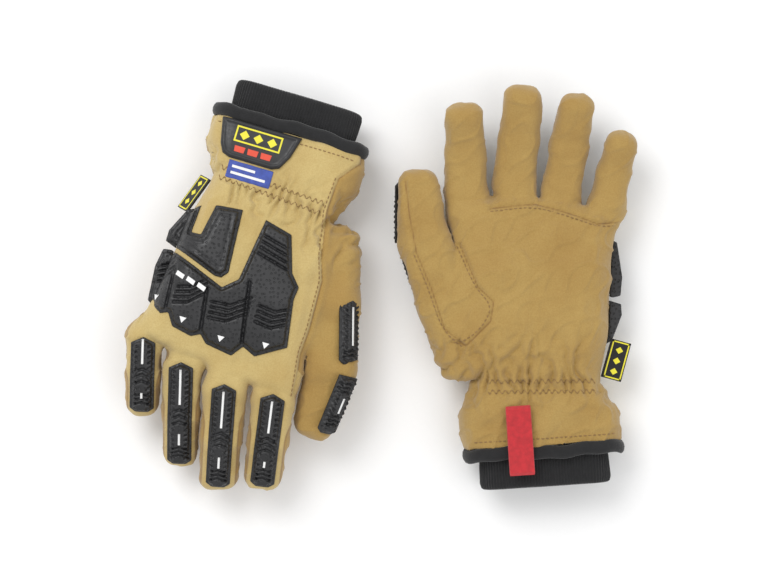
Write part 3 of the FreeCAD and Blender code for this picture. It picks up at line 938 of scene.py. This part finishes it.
def bent(points, d, start):
    """Straight-laid points of a finger's guard, with y from its knuckle, laid along its curled back."""
    k, m = d["knuckle"], d["middle"]
    y = points[:, 1] - d["base"]
    angle = k["curl"] + (m["curl"] - k["curl"]) * smooth((y + BEND / 2) / BEND)
    c, s = np.cos(angle)[:, None], np.sin(angle)[:, None]
    up = np.array([0.0, 0.0, 1.0])
    across = k["rest"][0]
    level = np.cross(up, across)
    lift = KNUCKLE_LIFT * (1 - smooth((points[:, 1] - start) / 24)) - 1.1 * smooth(y / d["end"])
    height = points[:, 2:] + FINGER_DEPTH + lift[:, None]
    along, out = c * level - s * up, c * up + s * level
    return m["at"] + points[:, :1] * across + y[:, None] * along + height * out


def finger_guard(glove, name, d):
    """One ribbed moulding down a finger's back, laid along the finger's curl at rest."""
    base, end = d["base"], d["base"] + d["end"] - GUARD_SHORT
    line = [d["middle"]["at"] + d["knuckle"]["rest"][1] * x for x in (-BEND / 2, BEND / 2)]
    bend_from, bend_to = (tuple(p) for p in glove.out(line))
    start = max(GUARD_START, BEND_FROM[name] - HEEL)
    pieces = [("moulding", RUBBER, *guard_bar(start, end, [base - 5.0, end - 15], 4.0))]
    for i, (a, b) in enumerate(((-2, base - 8), (base + 8, max(end - 17, base + 12)))):
        pieces.append((f"inlay{i}", WHITE, *inlay_box(a, b)))
    for word, material, verts, faces in pieces:
        obj = add_mesh(f"{glove.name}_{name}_guard_{word}", bent(verts, d, start), faces, material, glove)
        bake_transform(obj)
        if word == "moulding":
            declare(obj, glove, [f"{name}_guard_base", f"{name}_guard_tip"])


def plate_mark(glove, name, outline):
    """A white inlay in the knuckle plate."""
    mark = add_prism(f"{glove.name}_{name}", outline,
                     lambda p: np.minimum(back_height(p) + 3.0, REST_FACE - 1),
                     lambda p: np.minimum(back_height(p) + MARK_RISE, REST_FACE + 0.45), WHITE, glove)
    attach(mark, f"{glove.name}_hand")


def guards(glove):
    hand_plate(glove, "knuckle_guard", KNUCKLE_GUARD, 4.9, knuckle_carving)
    hand_plate(glove, "hand_guard", HAND_GUARD, 4.6, hand_carving)
    for i, (u, v, _, _) in enumerate(LOBES):
        half = 2.4 if i < 3 else 1.8
        plate_mark(glove, f"knuckle_inlay{i}", [(u - half, v + 1), (u, v + 5), (u + half, v + 1)])
    for i, u in enumerate(BAR_PLACES):
        v = 110 + 2 * i
        outline = [(u - 2.8, v), (u + 2.8, v + 2), (u + 2.1, v + 5), (u - 3.5, v + 3)]
        plate_mark(glove, f"knuckle_bar{i}", outline)
    for name, d in glove.digits.items():
        finger_guard(glove, name, d)


def thumb_guard(glove):
    """Two ribbed bars on the thumb's outer shoulder, following the frame's own bars."""
    tilt = math.radians(THUMB_GUARD_TILT)
    for part, body in (("base", "hand"), ("tip", "thumb_tip")):
        node_name = f"thumb_guard_{part}"
        points = glove.points(node_name)
        centre = points.mean(0)
        spread = np.linalg.svd(points - centre, full_matrices=False)[2]
        along = spread[0] * np.sign(spread[0][1])
        out = np.array([math.sin(tilt), 0, math.cos(tilt)])
        out = unit(out - along * (out @ along))
        axes = np.stack([np.cross(along, out), along, out])
        local = (points - centre) @ axes.T
        start, end, top = local[:, 1].min(), local[:, 1].max(), local[:, 2].max()
        at = centre + out * (top - GUARD_RISE - 0.2)
        tip = part == "tip"
        ribs = [start + 4, end - 15] if tip else [end - 10]
        strip = (start + 15, end - 17) if tip else (start + 8, end - 13)
        for word, material, verts, faces in (
            ("moulding", RUBBER, *guard_bar(start, end, ribs, 0.0 if tip else 5.0)),
            ("inlay", WHITE, *inlay_box(*strip)),
        ):
            obj = add_mesh(f"{glove.name}_{node_name}_{word}", verts @ axes + at, faces, material, glove)
            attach(obj, f"{glove.name}_{body}")
            if word == "moulding":
                declare(obj, glove, [node_name])


def binding_roll(glove):
    """The rolled edge of the cuff, a little wavy."""
    points, outward, s = oval(*ROLL_OVAL, 240)
    wave = 0.8 * np.sin(2 * math.pi * s / 61) + 0.5 * np.sin(2 * math.pi * s / 23 + 1)
    path = np.column_stack([points[:, 0], ROLL_V + wave, points[:, 1]])
    out = np.column_stack([outward[:, 0], np.zeros(len(s)), outward[:, 1]])
    verts, quads = sweep(path, out, *ROLL_HALF)
    obj = add_mesh(f"{glove.name}_cuff_binding_roll", verts, quads, BINDING, glove)
    declare(obj, glove, ["cuff_binding"], "hand")


def knit_cuff(glove):
    """The ribbed inner cuff, as rings that follow a profile round an oval."""
    count = 520
    points, outward, s = oval(*KNIT_OVAL, count)
    rings = []
    for depth, v in KNIT_PROFILE:
        rib = KNIT_RIB * np.sin(2 * math.pi * np.arange(count) / 5) if depth > -3 else 0.0
        slump = 0.6 * np.sin(2 * math.pi * s / 49 + v / 9)
        flat = points + outward * (depth + rib + slump)[:, None]
        rings.append(np.column_stack([flat[:, 0], np.full(count, v), flat[:, 1]]))
    verts = np.stack(rings, axis=1).reshape(-1, 3)
    quads = wrap(count, len(KNIT_PROFILE))
    obj = add_mesh(f"{glove.name}_knit_cuff_rib", verts, quads, KNIT, glove)
    declare(obj, glove, ["knit_cuff"], "hand")


def lining(glove):
    """The fleece inside the pocket of the shell, open at the cuff."""
    def field(p):
        sides, along = hand_field(p)
        solid = np.maximum(sides + HAND_SHELL + 0.2, np.maximum(-along, along - POCKET + 1))
        hollow = np.maximum(sides + HAND_SHELL + 2.6, along - POCKET + 4)
        return np.maximum(solid, -hollow)

    values, corner = sample(field, (-60, -3, -24), (62, 66, 24), LINING_CELL)
    verts, quads = surface(values, corner, LINING_CELL)
    obj = add_mesh(f"{glove.name}_fleece_lining", relax(verts, quads, 1, 0.6), quads, FLEECE, glove)
    declare(obj, glove, ["lining"], "hand")


def badge(glove):
    """The rubber badge and the woven label below it, with plain marks on both."""
    step = 0.6
    for name, outline, height, material, nodes in (
        ("cuff_badge_plate", BADGE, 2.4, SMOOTH_RUBBER, ["cuff_badge"]),
        ("cuff_label", LABEL, 1.2, BLUE, []),
    ):
        xs, ys, uv = grid_over(outline, step)
        distance = to_outline(uv, outline)
        base = back_height(uv)
        rim = 0.9 * groove(distance + 1.8, 1.0) if nodes else 0.0
        top = base + height - 0.5 + rim
        verts, quads = moulding(xs, ys, distance, top, base - 0.8, step, 0.5)
        obj = add_mesh(f"{glove.name}_{name}", verts, quads, material, glove)
        declare(obj, glove, nodes, "hand")
    yellow = border(-34, -2, 4.6, 15.6, 1.1) + [diamond(-27.6 + 9.6 * k, 10.2, 3.4, 3.3) for k in range(3)]
    flat = [("yellow", YELLOW, outline, 2.1) for outline in yellow]
    for k in range(3):
        u = -32 + 9.2 * k
        flat.append(("red", RED, [(u, 18.3), (u + 7.4, 18.3), (u + 7.0, 22.3), (u + 0.4, 22.3)], 2.1))
    for k, end in enumerate((-14, -6)):
        v = 31 + 4.2 * k
        flat.append(("white", WHITE, rectangle(-30, end, v, v + 1.7), 0.9))
    for i, (word, material, outline, height) in enumerate(flat):
        mark = add_prism(f"{glove.name}_badge_{word}{i}", outline,
                         lambda p, h=height: back_height(p) + h - 1.0,
                         lambda p, h=height: back_height(p) + h + 0.1, material, glove)
        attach(mark, f"{glove.name}_hand")


def pull_loop(glove):
    """A folded tape: a long flat ring, a little open at its free end."""
    j = glove.joints["pull_loop_swing"]
    at = glove.into(j["pos_m"])
    points = glove.points("pull_loop") - at
    low, high = points.min(0), points.max(0)
    half_w, length = (high[0] - low[0]) / 2, high[1] - low[1]
    tape, gap = 1.2, (high[2] - low[2]) / 2
    n = 60
    t = np.linspace(0, 1, n, endpoint=False)
    run = length - 2 * tape
    y = np.where(t < 0.5, high[1] - tape - run * 2 * t, low[1] + tape + run * (2 * t - 1))
    side = np.where(t < 0.5, 1.0, -1.0)
    swell = (gap - tape / 2) * (0.55 + 0.45 * smooth((high[1] - y) / length * 1.4))
    z = side * swell
    ends = np.minimum(smooth((high[1] - y) / 3.0), smooth((y - low[1]) / 3.0))
    z = z * np.sqrt(np.clip(ends + 0.05, 0, 1))
    middle = np.column_stack([np.full(n, (low[0] + high[0]) / 2), y, z])
    tangent = np.roll(middle, -1, 0) - np.roll(middle, 1, 0)
    tangent /= np.linalg.norm(tangent, axis=1)[:, None]
    out = np.cross(tangent, (1.0, 0, 0))
    rings = []
    for x, d in ((-1, -0.5), (-0.96, 0.5), (0.96, 0.5), (1, -0.5)):
        rings.append(middle + np.array([1.0, 0, 0]) * (x * half_w) + out * (d * tape))
    verts = np.stack(rings, axis=1).reshape(-1, 3) + at
    quads = wrap(n, 4)
    obj = add_mesh(f"{glove.name}_pull_loop_tape", verts, quads, WEBBING, glove)
    obj.data.polygons.foreach_set("use_smooth", np.zeros(len(quads), bool))
    declare(obj, glove, ["pull_loop"], "pull_loop")


def side_tag(glove):
    """The woven tag, with a border and three marks on each face."""
    node_name = f"{glove.name}_side_tag"
    j = glove.joints["side_tag_flip"]
    at = glove.into(j["pos_m"])
    along = unit(np.asarray(j["axis"], float) @ glove.matrix)
    along *= np.sign(along[1])
    points = glove.points("side_tag")
    out = np.linalg.svd(points - points.mean(0), full_matrices=False)[2][2]
    out *= np.sign(out[2])
    out = unit(out - along * (out @ along))
    axes = np.stack([unit(np.cross(along, out)), along, out])
    local = (points - at) @ axes.T
    (x0, y0, z0), (x1, y1, z1) = local.min(0), local.max(0)
    plate = add_prism(f"{node_name}_weave", rectangle(x0, x1, y0, y1), z0, z1, TAG, glove, at, axes)
    declare(plate, glove, ["side_tag"], "side_tag")
    x1 = min(x1, -0.3)
    edge, line = 0.7, 0.9
    a, b, c, d = x0 + edge, x1 - edge, y0 + edge, y1 - edge
    shapes = border(a, b, c, d, line)
    shapes += [diamond((a + b) / 2, c + 5.0 + 7.4 * k, 2.6, 2.4) for k in range(3)]
    for i, outline in enumerate(shapes):
        for face, (zl, zh) in {"b": (z1 - 0.2, z1 + 0.12), "p": (z0 - 0.12, z0 + 0.2)}.items():
            mark = add_prism(f"{node_name}_mark{i}{face}", outline, zl, zh, YELLOW, glove, at, axes)
            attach(mark, node_name)


# ---- stitches ----

def resample(line, pitch):
    line = np.asarray(line, float)
    lengths = np.concatenate([[0], np.cumsum(np.linalg.norm(np.diff(line, axis=0), axis=1))])
    count = max(int(lengths[-1] / pitch), 1)
    at = np.linspace(0, lengths[-1], count + 1)
    return np.column_stack([np.interp(at, lengths, line[:, k]) for k in range(line.shape[1])])


def curved(line):
    """A rounder line through points: two rounds of corner cutting."""
    line = np.asarray(line, float)
    for _ in range(2):
        q = 0.75 * line[:-1] + 0.25 * line[1:]
        r = 0.25 * line[:-1] + 0.75 * line[1:]
        line = np.vstack([line[:1], np.stack([q, r], axis=1).reshape(-1, line.shape[1]), line[-1:]])
    return line


def stitches(name, glove, tree, line, from_back, pitch=3.2, share=0.68, thick=0.36):
    """Short thread tubes along a line on the shell, found by looking along w."""
    points = resample(line, pitch)
    start_w = 80.0 if from_back else -80.0
    way = Vector((0, 0, -1.0 if from_back else 1.0))
    verts, faces = [], []
    angles = np.linspace(0, 2 * math.pi, 6, endpoint=False)
    for a, b in zip(points, points[1:]):
        ends = []
        for p in (a, a + (b - a) * share):
            hit, n, _, _ = tree.ray_cast(Vector((p[0], p[1], start_w)), way)
            if hit is not None:
                n = n if n.z * way.z < 0 else -n
                ends.append((np.array(hit), np.array(n)))
        if len(ends) < 2 or np.linalg.norm(ends[0][0] - ends[1][0]) > 2.2 * pitch:
            continue
        (p, n), (q, _) = ends
        along = unit(q - p)
        side = unit(np.cross(along, n))
        first = len(verts)
        for at, r in ((p, 0.4), (p + 0.25 * (q - p), 1.0), (p + 0.75 * (q - p), 1.0), (q, 0.4)):
            at = at + n * (0.12 if r < 1 else 0.22)
            verts += [at + thick * r * (side * math.cos(t) + n * math.sin(t)) for t in angles]
        for ring in range(3):
            for k in range(6):
                i = first + ring * 6
                faces.append([i + k, i + (k + 1) % 6, i + 6 + (k + 1) % 6, i + 6 + k])
    if not faces:
        return
    obj = add_mesh(f"{glove.name}_{name}", np.array(verts), np.array(faces), THREAD, glove)
    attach(obj, f"{glove.name}_hand")


def sewing(glove, verts, quads):
    tree = BVHTree.FromPolygons(verts.tolist(), quads.tolist())
    for name, line in (("thumb_seam_thread", THUMB_SEAM[2:]), ("patch_seam_thread", PATCH_SEAM),
                       ("finger_seam_thread", FINGER_SEAM)):
        line = curved(line)
        side = np.column_stack([-np.gradient(line[:, 1]), np.gradient(line[:, 0])])
        side /= np.linalg.norm(side, axis=1)[:, None]
        stitches(name, glove, tree, line + side * 2.0, False)
    edge = BACK_EDGE[:, ::-1]
    stitches("back_seam_thread", glove, tree, edge[2:] - np.array([2.0, 0]), True)
    for row, v in enumerate((36.5, 43.5)):
        us = np.arange(-37, 38, 2.1)
        zig = [(u, v + 0.06 * u + (1.9 if i % 2 else -1.9)) for i, u in enumerate(us)]
        for from_back in (True, False):
            where = "back" if from_back else "palm"
            stitches(f"elastic_thread_{where}{row}", glove, tree, zig, from_back, 2.1, 0.86, 0.3)
    hem = [(u, 5.0) for u in np.arange(-48, 49, 3.0)]
    for from_back in (True, False):
        stitches(f"hem_thread_{'back' if from_back else 'palm'}", glove, tree, hem, from_back)


def build(name):
    glove = Glove(name)
    verts, quads = shell(glove)
    guards(glove)
    thumb_guard(glove)
    binding_roll(glove)
    knit_cuff(glove)
    lining(glove)
    badge(glove)
    pull_loop(glove)
    side_tag(glove)
    sewing(glove, verts, quads)


# ---- stage ----

def stage():
    bpy.ops.mesh.primitive_plane_add(size=8, location=(0, 0, -0.0002))
    floor = bpy.context.object
    floor.name = "floor"
    material, tree, shader = new_material("floor_white", (0.93, 0.93, 0.93), 1.0)
    speck = mix(tree, noise(tree, 300.0, 2.0), (0.93, 0.93, 0.93), (0.91, 0.91, 0.91))
    tree.links.new(speck, shader.inputs["Base Color"])
    shader.inputs["Specular IOR Level"].default_value = 0.0
    floor.data.materials.append(material)
    world = bpy.data.worlds.new("studio")
    bpy.context.scene.world = world
    world.use_nodes = True
    background = world.node_tree.nodes["Background"]
    background.inputs["Color"].default_value = (1, 1, 1, 1)
    background.inputs["Strength"].default_value = 0.8
    for name, at, size, power in (("key", (-0.7, 0.9, 1.6), 1.0, 17.0), ("fill", (1.0, -0.6, 1.7), 1.4, 7.0)):
        light = bpy.data.lights.new(name, "AREA")
        light.size = size
        light.energy = power
        lamp = bpy.data.objects.new(name, light)
        lamp.location = at
        lamp.rotation_euler = (-Vector(at)).to_track_quat("-Z", "Y").to_euler()
        bpy.context.scene.collection.objects.link(lamp)
    bpy.context.scene.view_settings.view_transform = "Standard"
    lens = bpy.data.cameras.new("camera")
    lens.lens = 120
    lens.sensor_width = 36
    lens.clip_end = 20
    camera = bpy.data.objects.new("camera", lens)
    camera.location = (0.0014, -0.002, 0.522 * 120 / 36 + 0.03)
    bpy.context.scene.collection.objects.link(camera)
    bpy.context.scene.camera = camera


for glove_name in ("left", "right"):
    build(glove_name)
stage()
